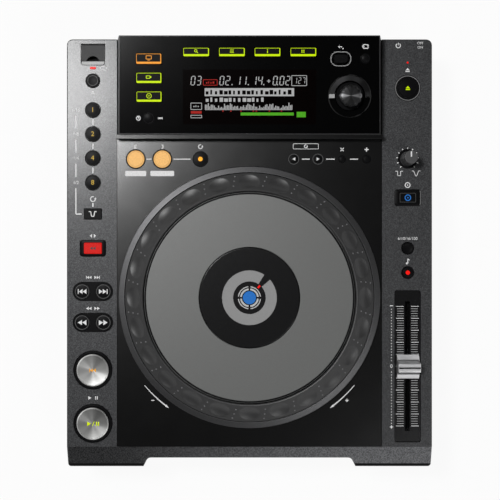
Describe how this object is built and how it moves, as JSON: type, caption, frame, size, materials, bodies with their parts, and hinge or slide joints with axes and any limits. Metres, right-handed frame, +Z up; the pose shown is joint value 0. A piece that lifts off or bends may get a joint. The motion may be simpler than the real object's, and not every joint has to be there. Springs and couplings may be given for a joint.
{
  "type": "tabletop dj cd player",
  "caption": "Tabletop DJ CD player with a large jog wheel, a sloped display block, side rows of buttons, a tempo slider and a front disc slot.",
  "frame": {"origin": "middle of the footprint, on the surface that the feet stand on", "axes": "+Z up, +X to the player's right, +Y to its back, where the jacks are"},
  "size_m": [0.305, 0.358, 0.1078],
  "materials": {
    "graphite_case": "painted with a fine sparkle, satin",
    "black_case": "textured",
    "foot_rubber": "matte",
    "gloss_black": "gloss",
    "satin_black": "satin",
    "ring_grey": "satin",
    "platter_grey": "satin, painted",
    "spun_metal": "turned",
    "silver": "silver painted",
    "steel": "plain",
    "board_green": "satin",
    "orange_light": "lit from inside",
    "red_light": "lit from inside"
  },
  "bodies": {
    "root": {"upper_case": "graphite_case", "lower_case": "black_case", "foot_front_left": "foot_rubber", "foot_front_right": "foot_rubber", "foot_rear_left": "foot_rubber", "foot_rear_right": "foot_rubber", "deck_panel": "gloss_black", "jog_display": "gloss_black", "display_housing": "satin_black", "display_face": "gloss_black", "lcd_module": "satin_black", "tempo_fader_unit": "satin_black", "usb_socket": "satin_black", "drive_chassis": "steel", "main_board": "board_green"},
    "jog_ring": {"jog_ring": "ring_grey"},
    "jog_platter": {"jog_platter": "platter_grey"},
    "selector_shaft": {"selector_shaft": "steel"},
    "selector_knob": {"selector_knob": "satin_black"},
    "source_button_1": {"source_button_1": "satin_black"},
    "source_button_2": {"source_button_2": "satin_black"},
    "source_button_3": {"source_button_3": "satin_black"},
    "browse_button": {"browse_button": "satin_black"},
    "tag_list_button": {"tag_list_button": "satin_black"},
    "info_button": {"info_button": "satin_black"},
    "menu_button": {"menu_button": "satin_black"},
    "back_button": {"back_button": "satin_black"},
    "time_mode_button": {"time_mode_button": "satin_black"},
    "tag_track_button": {"tag_track_button": "satin_black"},
    "loop_in_button": {"loop_in_button": "orange_light"},
    "loop_out_button": {"loop_out_button": "orange_light"},
    "reloop_button": {"reloop_button": "satin_black"},
    "call_back_button": {"call_back_button": "satin_black"},
    "call_forward_button": {"call_forward_button": "satin_black"},
    "delete_button": {"delete_button": "satin_black"},
    "memory_button": {"memory_button": "satin_black"},
    "usb_stop_button": {"usb_stop_button": "satin_black"},
    "loop_button_1": {"loop_button_1": "satin_black"},
    "loop_button_2": {"loop_button_2": "satin_black"},
    "loop_button_4": {"loop_button_4": "satin_black"},
    "loop_button_8": {"loop_button_8": "satin_black"},
    "beat_select_button": {"beat_select_button": "satin_black"},
    "direction_button": {"direction_button": "red_light"},
    "track_back_button": {"track_back_button": "satin_black"},
    "track_forward_button": {"track_forward_button": "satin_black"},
    "search_back_button": {"search_back_button": "satin_black"},
    "search_forward_button": {"search_forward_button": "satin_black"},
    "cue_button": {"cue_button": "spun_metal"},
    "play_button": {"play_button": "spun_metal"},
    "eject_button": {"eject_button": "satin_black"},
    "jog_mode_button": {"jog_mode_button": "satin_black"},
    "master_tempo_button": {"master_tempo_button": "satin_black"},
    "tempo_range_button": {"tempo_range_button": "satin_black"},
    "speed_adjust_knob": {"speed_adjust_knob": "satin_black"},
    "tempo_slider_knob": {"tempo_slider_knob": "silver"},
    "usb_cover": {"usb_cover": "satin_black"},
    "loading_roller": {"loading_roller": "foot_rubber"},
    "spindle_hub": {"spindle_hub": "satin_black"},
    "pickup_sled": {"pickup_sled": "steel"},
    "power_button": {"power_button": "satin_black"}
  },
  "joints": [
    {"name": "jog_turn", "type": "hinge", "parent": "root", "child": "jog_ring", "pos_m": [0, -0.03625, 0.0785], "axis": [0, 0, 1], "continuous": true},
    {"name": "jog_press", "type": "slide", "parent": "jog_ring", "child": "jog_platter", "axis": [0, 0, -1], "range_m": [0, 0.0005], "stiffness_N_per_m": 8000},
    {"name": "selector_press", "type": "slide", "parent": "root", "child": "selector_shaft", "axis": [0, 0.0872, -0.9962], "range_m": [0, 0.0005], "stiffness_N_per_m": 1500},
    {"name": "selector_turn", "type": "hinge", "parent": "selector_shaft", "child": "selector_knob", "pos_m": [0.08236, 0.12978, 0.09323], "axis": [0, -0.0872, 0.9962], "continuous": true},
    {"name": "source_press_1", "type": "slide", "parent": "root", "child": "source_button_1", "axis": [0, 0.0872, -0.9962], "range_m": [0, 0.0008], "stiffness_N_per_m": 800},
    {"name": "source_press_2", "type": "slide", "parent": "root", "child": "source_button_2", "axis": [0, 0.0872, -0.9962], "range_m": [0, 0.0008], "stiffness_N_per_m": 800},
    {"name": "source_press_3", "type": "slide", "parent": "root", "child": "source_button_3", "axis": [0, 0.0872, -0.9962], "range_m": [0, 0.0008], "stiffness_N_per_m": 800},
    {"name": "browse_press", "type": "slide", "parent": "root", "child": "browse_button", "axis": [0, 0.0872, -0.9962], "range_m": [0, 0.0008], "stiffness_N_per_m": 800},
    {"name": "tag_list_press", "type": "slide", "parent": "root", "child": "tag_list_button", "axis": [0, 0.0872, -0.9962], "range_m": [0, 0.0008], "stiffness_N_per_m": 800},
    {"name": "info_press", "type": "slide", "parent": "root", "child": "info_button", "axis": [0, 0.0872, -0.9962], "range_m": [0, 0.0008], "stiffness_N_per_m": 800},
    {"name": "menu_press", "type": "slide", "parent": "root", "child": "menu_button", "axis": [0, 0.0872, -0.9962], "range_m": [0, 0.0008], "stiffness_N_per_m": 800},
    {"name": "back_press", "type": "slide", "parent": "root", "child": "back_button", "axis": [0, 0.0872, -0.9962], "range_m": [0, 0.0008], "stiffness_N_per_m": 800},
    {"name": "time_mode_press", "type": "slide", "parent": "root", "child": "time_mode_button", "axis": [0, 0.0872, -0.9962], "range_m": [0, 0.0008], "stiffness_N_per_m": 800},
    {"name": "tag_track_press", "type": "slide", "parent": "root", "child": "tag_track_button", "axis": [0, 0.0872, -0.9962], "range_m": [0, 0.0008], "stiffness_N_per_m": 800},
    {"name": "loop_in_press", "type": "slide", "parent": "root", "child": "loop_in_button", "axis": [0, 0, -1], "range_m": [0, 0.0008], "stiffness_N_per_m": 800},
    {"name": "loop_out_press", "type": "slide", "parent": "root", "child": "loop_out_button", "axis": [0, 0, -1], "range_m": [0, 0.0008], "stiffness_N_per_m": 800},
    {"name": "reloop_press", "type": "slide", "parent": "root", "child": "reloop_button", "axis": [0, 0, -1], "range_m": [0, 0.0008], "stiffness_N_per_m": 800},
    {"name": "call_back_press", "type": "slide", "parent": "root", "child": "call_back_button", "axis": [0, 0, -1], "range_m": [0, 0.0008], "stiffness_N_per_m": 800},
    {"name": "call_forward_press", "type": "slide", "parent": "root", "child": "call_forward_button", "axis": [0, 0, -1], "range_m": [0, 0.0008], "stiffness_N_per_m": 800},
    {"name": "delete_press", "type": "slide", "parent": "root", "child": "delete_button", "axis": [0, 0, -1], "range_m": [0, 0.0008], "stiffness_N_per_m": 800},
    {"name": "memory_press", "type": "slide", "parent": "root", "child": "memory_button", "axis": [0, 0, -1], "range_m": [0, 0.0008], "stiffness_N_per_m": 800},
    {"name": "usb_stop_press", "type": "slide", "parent": "root", "child": "usb_stop_button", "axis": [0, 0, -1], "range_m": [0, 0.0008], "stiffness_N_per_m": 800},
    {"name": "loop_press_1", "type": "slide", "parent": "root", "child": "loop_button_1", "axis": [0, 0, -1], "range_m": [0, 0.0008], "stiffness_N_per_m": 800},
    {"name": "loop_press_2", "type": "slide", "parent": "root", "child": "loop_button_2", "axis": [0, 0, -1], "range_m": [0, 0.0008], "stiffness_N_per_m": 800},
    {"name": "loop_press_4", "type": "slide", "parent": "root", "child": "loop_button_4", "axis": [0, 0, -1], "range_m": [0, 0.0008], "stiffness_N_per_m": 800},
    {"name": "loop_press_8", "type": "slide", "parent": "root", "child": "loop_button_8", "axis": [0, 0, -1], "range_m": [0, 0.0008], "stiffness_N_per_m": 800},
    {"name": "beat_select_press", "type": "slide", "parent": "root", "child": "beat_select_button", "axis": [0, 0, -1], "range_m": [0, 0.0008], "stiffness_N_per_m": 800},
    {"name": "direction_press", "type": "slide", "parent": "root", "child": "direction_button", "axis": [0, 0, -1], "range_m": [0, 0.0008], "stiffness_N_per_m": 800},
    {"name": "track_back_press", "type": "slide", "parent": "root", "child": "track_back_button", "axis": [0, 0, -1], "range_m": [0, 0.0008], "stiffness_N_per_m": 800},
    {"name": "track_forward_press", "type": "slide", "parent": "root", "child": "track_forward_button", "axis": [0, 0, -1], "range_m": [0, 0.0008], "stiffness_N_per_m": 800},
    {"name": "search_back_press", "type": "slide", "parent": "root", "child": "search_back_button", "axis": [0, 0, -1], "range_m": [0, 0.0008], "stiffness_N_per_m": 800},
    {"name": "search_forward_press", "type": "slide", "parent": "root", "child": "search_forward_button", "axis": [0, 0, -1], "range_m": [0, 0.0008], "stiffness_N_per_m": 800},
    {"name": "cue_press", "type": "slide", "parent": "root", "child": "cue_button", "axis": [0, 0, -1], "range_m": [0, 0.0008], "stiffness_N_per_m": 1500},
    {"name": "play_press", "type": "slide", "parent": "root", "child": "play_button", "axis": [0, 0, -1], "range_m": [0, 0.0008], "stiffness_N_per_m": 1500},
    {"name": "eject_press", "type": "slide", "parent": "root", "child": "eject_button", "axis": [0, 0, -1], "range_m": [0, 0.0008], "stiffness_N_per_m": 800},
    {"name": "jog_mode_press", "type": "slide", "parent": "root", "child": "jog_mode_button", "axis": [0, 0, -1], "range_m": [0, 0.0008], "stiffness_N_per_m": 800},
    {"name": "master_tempo_press", "type": "slide", "parent": "root", "child": "master_tempo_button", "axis": [0, 0, -1], "range_m": [0, 0.0008], "stiffness_N_per_m": 800},
    {"name": "tempo_range_press", "type": "slide", "parent": "root", "child": "tempo_range_button", "axis": [0, 0, -1], "range_m": [0, 0.0008], "stiffness_N_per_m": 800},
    {"name": "speed_adjust_turn", "type": "hinge", "parent": "root", "child": "speed_adjust_knob", "pos_m": [0.13206, 0.0792, 0.079], "axis": [0, 0, 1], "range_deg": [-140, 140]},
    {"name": "tempo_slide", "type": "slide", "parent": "root", "child": "tempo_slider_knob", "axis": [0, 1, 0], "range_m": [-0.05, 0.05]},
    {"name": "usb_cover_hinge", "type": "hinge", "parent": "root", "child": "usb_cover", "pos_m": [-0.1307, 0.17355, 0.0778], "axis": [-1, 0, 0], "range_deg": [0, 95]},
    {"name": "roller_turn", "type": "hinge", "parent": "root", "child": "loading_roller", "pos_m": [0, -0.15975, 0.0421], "axis": [1, 0, 0], "continuous": true},
    {"name": "spindle_turn", "type": "hinge", "parent": "root", "child": "spindle_hub", "pos_m": [0, -0.09175, 0.0445], "axis": [0, 0, 1], "continuous": true},
    {"name": "sled_slide", "type": "slide", "parent": "root", "child": "pickup_sled", "axis": [0, 1, 0], "range_m": [0, 0.034]},
    {"name": "power_press", "type": "slide", "parent": "root", "child": "power_button", "axis": [0, -1, 0], "range_m": [0, 0.002], "stiffness_N_per_m": 600}
  ]
}
